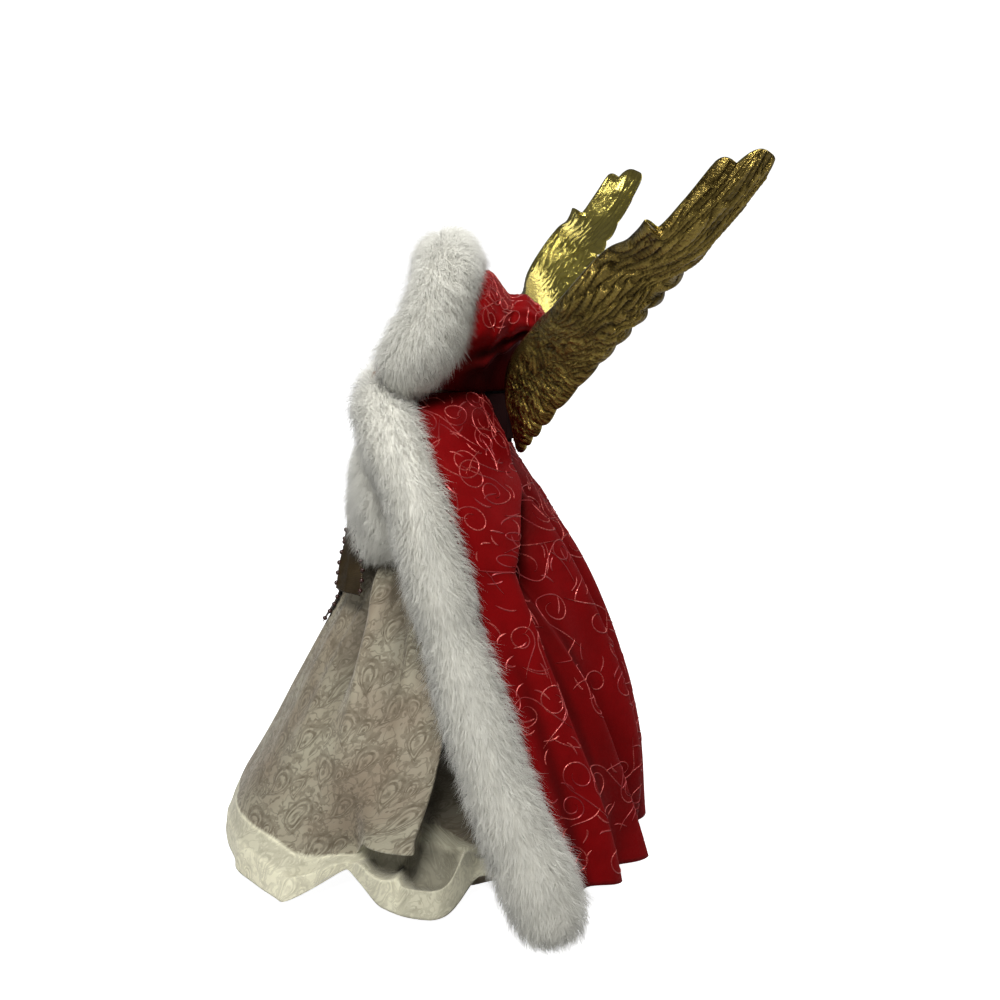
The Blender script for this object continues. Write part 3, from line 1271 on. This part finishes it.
def wing_relief(s, c):
    """Height in millimetres and relief from 0 to 1 of the moulded front: strokes, tufts, then long flutes."""
    span, chord = s * lead_edge.length, c * WING_CHORD
    sway = 1.5 * sin(span / 7.3 + 1.9 * sin(chord / 5.1)) + 1.1 * sin(chord / 3.7 - span / 11 + 1.3)
    sway = sway + 0.6 * sin(span / 2.9 + chord / 2.3 + 0.8 * sin(chord))
    stroke = feathers(span + sway, chord, *STROKES)
    tuft = feathers(0.85 * chord - 0.53 * span + 1.3 * sway, 0.85 * span + 0.53 * chord, *TUFTS)
    flute = feathers(c * 31 + 5 * s + 0.8 * sway, span, *FLUTES)
    outer = s + 0.16 * (0.5 - c) + 0.03 * sway
    relief = lerp(lerp(stroke, tuft, smoothstep(outer, 0.34, 0.46)), flute, smoothstep(outer, 0.54, 0.68))
    hump = bell(c, 0.1, 0.17) * (1 - smoothstep(s, 0.3, 0.52))
    relief = lerp(relief, 0.6, 0.9 * smoothstep(hump, 0.25, 0.85))
    root = 1.5 * (1 - smoothstep(s, 0.06, 0.3)) * np.sqrt(clip(4 * c * (1 - c), 0, 1))
    high = lerp(0.8, 1.9, smoothstep(s, 0.03, 0.16))
    return high * relief + 2.6 * hump * smoothstep(s, 0, 0.08) + root, relief


def cap(x):
    """A rounded end, 0 at both sides and 1 in the middle."""
    return clip(1 - np.abs(2 * clip(x, 0, 1) - 1) ** 3, 0, 1) ** (1 / 3)


def wing_point(s, c, height):
    """A cambered blade with a scalloped trailing edge, a spur on the leading edge and a two-lobed tip."""
    lead = lead_edge.by_length(s)
    chord = trail_edge.by_length(s) - lead
    ahead = lead_edge.ahead(s, 0.004)
    facing = unit(np.cross(chord, ahead))
    lobe = np.abs(sin(pi * WING_FEATHERS * (s + 0.04 * sin(9 * s)))) ** 0.7 - 0.6
    scallop = (1.5 + 0.8 * sin(11 * s)) * lobe * smoothstep(c, 0.72, 1) * (1 - smoothstep(s, 0.93, 0.98))
    before = clip((s - SPUR_START) / (SPUR_PLACE - SPUR_START), 0, 1) ** 3
    spur = np.where(s < SPUR_PLACE, before, bell(s, SPUR_PLACE, 0.014)) * smoothstep(1 - c, 0.72, 1)
    spur = SPUR_REACH * spur
    lobes = [reach * cap((c - start) / width) for reach, start, width in TIP_LOBES]
    tip = maximum(*lobes) * smoothstep(s, 0.82, 1)
    camber = WING_CAMBER * 4 * c * (1 - c) * smoothstep(s, 0, 0.25)
    across = chord * c[:, None] + unit(chord) * (scallop - spur)[:, None]
    return lead + across + ahead * (tip + spur)[:, None] + facing * (camber + height)[:, None]


def knuckle_of(side):
    """The hinge barrel with its pin hole, and the web that carries it into the wing root."""
    x, y, z = HINGE_AT
    angle = linspace(0, TURN, 40, endpoint=False)
    inset, bevel = KNUCKLE_CHAMFER
    heights = z + np.array([-KNUCKLE_HALF, bevel - KNUCKLE_HALF, KNUCKLE_HALF - bevel, KNUCKLE_HALF])
    outside = KNUCKLE_RADIUS - np.array([inset, 0, 0, inset])
    rings = stack([
        columns(side * x + radius * cos(angle), y + radius * sin(angle), level)
        for level, radius in [*zip(heights, outside), *zip(heights[::-1], full(4, KNUCKLE_BORE))]
    ])
    barrel = (rings.reshape(-1, 3), [ring_band(8, 40, 8)])
    t = linspace(0, 1, 12)[:, None]
    angle = linspace(0, TURN, 28, endpoint=False)
    taper = lerp(1, 0.3, smoothstep(t, 0.35, 1))
    web = columns(
        side * lerp(WEB_FROM[0], WEB_TO[0], t),
        lerp(WEB_FROM[1], WEB_TO[1], t) + WEB_HALF[0] * taper * squarish(cos(angle), 0.35),
        z + WEB_HALF[1] * taper * squarish(sin(angle), 0.35),
    )
    return merge([barrel, close_rings(web)])


def wings():
    s, c = grid_places(*WING_GRID)
    half = lerp(WING_ROOT_BODY, WING_EDGE, clip(0.6 * s + 0.5 * c, 0, 1))
    border = minimum(minimum(c, 1 - c) * 12, minimum(s, 1 - s) * 40)
    rounding = np.sqrt(clip(border, 0.04, 1))
    height, relief = wing_relief(s, c)
    points = vstack([
        wing_point(s, c, (half + height) * rounding),
        wing_point(s, c, -(half + 0.5 * relief) * rounding),
    ])
    feather = columns(s * lead_edge.length, c * WING_CHORD, 0)
    for side, name in SIDES:
        knuckle = knuckle_of(side)
        extra = len(knuckle[0])
        both, faces = merge([(points * [side, 1, 1], sheet_faces(*WING_GRID)), knuckle])
        fields = {
            "relief": concatenate([relief, 0.35 + 0.65 * relief, full(extra, 0.4)]),
            "bright": concatenate([0 * s, 1 + 0 * s, np.zeros(extra)]),
            "feather": vstack([feather, feather, np.zeros((extra, 3))]),
        }
        wing = make("feathered_wing_" + name, both, faces, GOLD, "gold", name + "_wing", **fields)
        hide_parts("wing_" + name)


# Head and hair

def on_sphere(longitude, latitude):
    return columns(cos(latitude) * cos(longitude), cos(latitude) * sin(longitude), sin(latitude))


def head_point(longitude, latitude, grow):
    direction = on_sphere(longitude, latitude)
    relief = grow + 0 * latitude
    for at, width, height in FACE_BUMPS:
        apart = np.arccos(clip(direction @ unit(np.array(at, float)), -1, 1))
        relief = relief + height * bell(apart, 0, width)
    jaw = maximum(0, -direction[..., 2]) ** 1.6
    point = columns(
        direction[..., 0] * HEAD_RADII[0] * (1 - 0.28 * jaw),
        direction[..., 1] * HEAD_RADII[1] - 2.5 * jaw,
        direction[..., 2] * HEAD_RADII[2],
    ) + direction * relief[..., None]
    turn = np.array(Matrix.Rotation(-HEAD_TILT, 3, "X"))
    return point @ turn.T + HEAD_CENTRE


def head():
    lon, lat = np.meshgrid(linspace(0, TURN, 144, endpoint=False), linspace(-1.5, 1.5, 110))
    t = linspace(0, 1, 20)
    neck = tube(columns(0, 0, lerp(*NECK[:2], t)), NECK[2] - NECK_WAIST * sin(pi * t), 40)
    peg = tube(columns(0, 0, lerp(*PEG[:2], t)), PEG[2], 30)
    points, faces = merge([close_rings(head_point(lon, lat, 0.0)), neck, peg])
    direction = np.zeros((len(points), 3))
    direction[: lon.size] = on_sphere(lon, lat).reshape(-1, 3)

    def near(at, width, tall):
        off = direction - unit(np.array(at, float))
        return bell(off[:, 0], 0, width) * bell(off[:, 2], 0, tall) * (direction[:, 1] < 0)
    blush = 0.5 * (near((0.48, -1, -0.32), 0.2, 0.16) + near((-0.48, -1, -0.32), 0.2, 0.16))
    lips = clip(near((0, -1, -0.62), 0.17, 0.06) * 1.8 - 0.5, 0, 1)
    skin = make("doll_head", points, faces, skin_finish(), "skin", blush=blush, lips=lips)
    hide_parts("head")


def patch(longitudes, low, high, grow):
    """A thin raised patch on the head between two latitudes given at the same longitudes."""
    middle = lerp(low, high, 0.5)
    rows = ((low, grow * 0.2), (middle, grow), (high, grow * 0.2), (middle, -0.4))
    return close_rings(stack([head_point(longitudes, *row) for row in rows], axis=1))


def eyes():
    parts = {"white": [], "iris": [], "brow": []}
    t = linspace(0, 1, 30)
    arch = sin(pi * t)
    across = linspace(-1, 1, 20)
    for side in (-1, 1):
        lon = FACE_FRONT + side * lerp(*EYE_SPAN, t)
        open_eye = arch ** 0.8
        lid = EYE_LEVEL + 0.085 * open_eye
        low, high = EYE_LEVEL - 0.05 * open_eye, EYE_LEVEL + 0.08 * open_eye
        parts["white"].append(patch(lon, low, high, 0.25))
        parts["brow"].append(patch(lon, lid, lid + 0.03, 0.4))
        brow = BROW_LEVEL + 0.07 * arch - 0.03 * t
        lon = FACE_FRONT + side * lerp(*BROW_SPAN, t)
        parts["brow"].append(patch(lon, brow, brow + 0.035 * arch ** 0.5, 0.3))
        dot = IRIS_HALF[1] * np.sqrt(clip(1 - across ** 2, 0, 1))
        lon = FACE_FRONT + side * IRIS_AT[0] + IRIS_HALF[0] * across
        parts["iris"].append(patch(lon, IRIS_AT[1] - dot, IRIS_AT[1] + dot, 0.42))
    finishes = {
        "white": plain_finish("eye_white", (0.75, 0.74, 0.7), (0.84, 0.83, 0.8), 200.0, 0.3),
        "iris": plain_finish("eye_iris", (0.05, 0.025, 0.012), (0.1, 0.05, 0.02), 900.0, 0.2),
        "brow": plain_finish("brow", (0.12, 0.05, 0.02), (0.17, 0.08, 0.03), 500.0, 0.6),
    }
    for key, patches in parts.items():
        make("eye_" + key, *merge(patches), finishes[key], "skin", closed=False)


def hair():
    """Two layers of locks over the crown, locks drawn back from the brow, and ringlets at the cheeks."""
    rng = np.random.default_rng(23)
    t = linspace(0, 1, 26)
    locks = []
    for row in range(2):
        for k, p in enumerate(linspace(-1, 1, CROWN_LOCKS)):
            for side in (-1, 1):
                end = lerp(-0.75, -0.1, max(0.0, -p)) - 0.1 * row
                lon = pi / 2 - side * lerp(0.02, 2.35, (p + 1) / 2) + side * 0.25 * (1 - t) * sin(6 * t + k)
                lat = lerp(1.42 - 0.1 * row, end, t ** 1.1)
                wave = 0.5 * sin(10 * t + k * 1.7 + row)
                grow = (1.3 + 0.9 * row) + 0.5 * wave + rng.uniform(-0.2, 0.3)
                radius = 1.05 * sin(pi * (0.02 + 0.97 * t)) ** 0.35 * (1 - 0.3 * t)
                locks.append(tube(head_point(lon, lat, grow), radius, 8))
    for side in (-1, 1):
        for k in range(BROW_LOCKS):
            up = k / (BROW_LOCKS - 1)
            lon = FACE_FRONT + side * (0.03 + lerp(0.85, 1.25, up) * t ** 0.8)
            lat = lerp(lerp(0.8, 1.35, up), lerp(-0.1, 0.1, up), t ** 1.5)
            path = head_point(lon, lat, 1.5 + 0.3 * sin(7 * t + k))
            locks.append(tube(path, 1.1 * sin(pi * (0.04 + 0.93 * t)) ** 0.4, 8))
    t = linspace(0, 1, 90)
    for side in (-1, 1):
        for k in range(RINGLETS):
            radius = lerp(1.3, 0.8, t)
            coil = TURN * (4.5 + 0.4 * k) * t + k
            path = columns(
                side * lerp(13.0 - 1.2 * k, 9.0 - 0.9 * k, t) + radius * cos(coil),
                lerp(-9.0 - 2.0 * k, -20 - 2.7 * k, t) + radius * sin(coil),
                lerp(229, 213 + 0.6 * k, t),
            )
            locks.append(tube(path, 1.15 * sin(pi * (0.06 + 0.9 * t)) ** 0.4, 8))
    piece = make("hair_locks", *merge(locks), hair_finish(), "hair", closed=False)
    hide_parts("hair")


# CAD nodes that keep their shape

def bare_nodes():
    finishes = {"support_cone": CARD, "torso": BODY, "wing_bracket": BRACKET, "arm_wire": STEEL}
    for name in ("bracket_screw_lower", "bracket_screw_upper", "hinge_pin_left", "hinge_pin_right"):
        finishes[name] = STEEL
    for name, material in finishes.items():
        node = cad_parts[name]
        node.data.materials.clear()
        node.data.materials.append(material)


# Camera, floor and light

def placed(x_axis, y_axis, z_axis, place):
    return Matrix([[x_axis[k], y_axis[k], z_axis[k], place[k]] for k in range(3)] + [[0, 0, 0, 1]])


def add(name, data):
    item = bpy.data.objects.new(name, data)
    bpy.context.scene.collection.objects.link(item)
    return item


def studio():
    scene = bpy.context.scene
    camera = add("camera", bpy.data.cameras.new("camera"))
    camera.data.lens = LENS
    camera.data.sensor_width = SENSOR
    camera.data.clip_end = 20
    ahead = np.array([
        -math.cos(CAMERA_YAW) * math.cos(CAMERA_TILT),
        math.sin(CAMERA_YAW) * math.cos(CAMERA_TILT),
        -math.sin(CAMERA_TILT),
    ])
    right = np.array([math.sin(CAMERA_YAW), math.cos(CAMERA_YAW), 0.0])
    camera.matrix_world = placed(right, np.cross(right, ahead), -ahead, in_row(np.array(CAMERA_AT)))
    scene.camera = camera

    floor_mesh = bpy.data.meshes.new("floor")
    corners = [(x * FLOOR_HALF, y * FLOOR_HALF, 0) for x, y in ((-1, -1), (1, -1), (1, 1), (-1, 1))]
    floor_mesh.from_pydata(corners, [], [(0, 1, 2, 3)])
    floor = add("floor", floor_mesh)
    ground = Finish("floor", Roughness=0.9, Specular_IOR_Level=0.0, Emission_Color=(1, 1, 1))
    tone = ground.mix(ground.noise(ground.place(), 3.0), (0.5, 0.5, 0.5), (0.54, 0.54, 0.54))
    glow = ground.node("LightPath", {}, "Is Camera Ray") * FLOOR_GLOW
    floor_mesh.materials.append(ground.finish(Base_Color=tone, Emission_Strength=glow))

    world = bpy.data.worlds.new("studio")
    world.use_nodes = True
    nodes, links = world.node_tree.nodes, world.node_tree.links
    seen = nodes.new("ShaderNodeLightPath")
    strength = nodes.new("ShaderNodeMapRange")
    strength.inputs["To Min"].default_value = SKY_LIGHT
    strength.inputs["To Max"].default_value = SKY_SEEN
    links.new(seen.outputs["Is Camera Ray"], strength.inputs["Value"])
    links.new(strength.outputs[0], nodes["Background"].inputs["Strength"])
    nodes["Background"].inputs["Color"].default_value = (1, 1, 1, 1)
    scene.world = world

    for name, place, size, power, lights in LAMPS:
        lamp = bpy.data.lights.new(name, "AREA")
        lamp.shape = "DISK"
        lamp.size = size
        lamp.energy = power
        holder = add(name, lamp)
        backward = unit(np.array(place) - LAMP_AIM)
        across = unit(np.cross([0, 0, 1], backward))
        holder.matrix_world = placed(across, np.cross(backward, across), backward, place)
        holder.visible_diffuse = lights
    scene.view_settings.view_transform = "Standard"


studio()
bare_nodes()
gown()
bodice()
sleeves()
cape()
hood()
trims()
muff()
ribbons()
wings()
head()
eyes()
hair()
